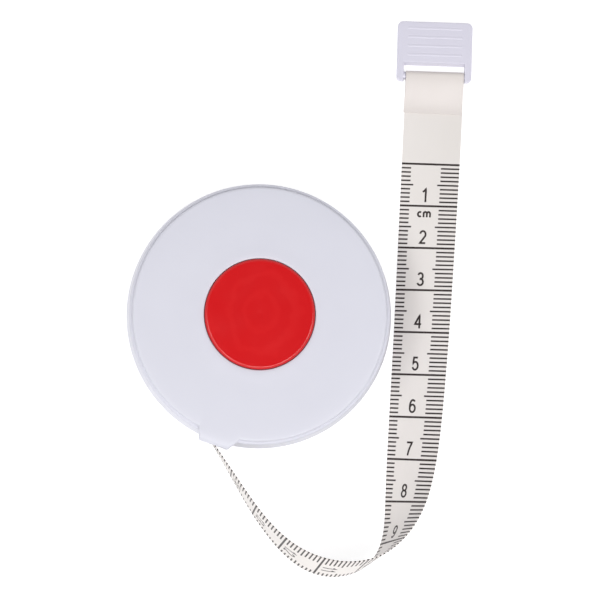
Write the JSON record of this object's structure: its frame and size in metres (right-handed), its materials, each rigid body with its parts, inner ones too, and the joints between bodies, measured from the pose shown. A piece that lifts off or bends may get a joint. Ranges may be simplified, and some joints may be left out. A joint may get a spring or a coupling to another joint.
{
  "type": "tape measure",
  "caption": "Round pocket tape measure: flat plastic case, central push button that frees the spring-return spool, flexible printed tape leaving the rim, and an end tab.",
  "frame": {"origin": "centre of the case's flat back face, on the spool's axis", "axes": "+Z out of the back face towards the push button, along the spool's axis; +X towards the side on which the tape lies straight; +Y towards the end tab"},
  "size_m": [0.0813, 0.131, 0.0194],
  "materials": {
    "case_plastic": "satin moulded, very slightly blue white",
    "red_plastic": "satin moulded with faint flow marks",
    "inner_plastic": "plain moulded",
    "brake_plastic": "plain moulded",
    "nylon": "plain",
    "spring_steel": "bright drawn",
    "tape_vinyl": "vinyl-coated glass cloth, printed in dark ink",
    "pad_rubber": "matt",
    "tab_plastic": "satin moulded, slightly translucent"
  },
  "bodies": {
    "case": {"front_shell": "case_plastic", "back_shell": "case_plastic", "thrust_washer": "nylon", "spool_retainer": "spring_steel", "button_spring": "spring_steel"},
    "spool": {"spool_drum": "inner_plastic", "spool_cover": "inner_plastic", "brake_ring": "inner_plastic", "mainspring": "spring_steel", "tape_roll": "tape_vinyl"},
    "button": {"push_button": "red_plastic", "brake_plate": "brake_plastic", "brake_pad": "pad_rubber"},
    "tape_end": {"tape_blade": "tape_vinyl"},
    "tab": {"end_tab": "tab_plastic"}
  },
  "joints": [
    {"name": "spool_turn", "type": "hinge", "parent": "case", "child": "spool", "pos_m": [0, 0, 0.0094], "axis": [0, 0, 1], "range_deg": [0, 3400], "deforming": ["mainspring"]},
    {"name": "tape_pull", "type": "slide", "parent": "case", "child": "tape_end", "axis": [0.5299, -0.848, 0], "range_m": [0, 1.355]},
    {"name": "button_press", "type": "slide", "parent": "case", "child": "button", "axis": [0, 0, -1], "range_m": [0, 0.0015], "stiffness_N_per_m": 900, "springref_m": -0.003, "deforming": ["button_spring"]},
    {"name": "tab_swing", "type": "hinge", "parent": "tape_end", "child": "tab", "pos_m": [0.04171, 0.0572, 0.0013], "axis": [0.9996, -0.0297, 0], "range_deg": [0, 145]}
  ],
  "couplings": [
    {"joint": "tape_pull", "follows": "spool_turn", "m_per_rad": 0.0228}
  ]
}
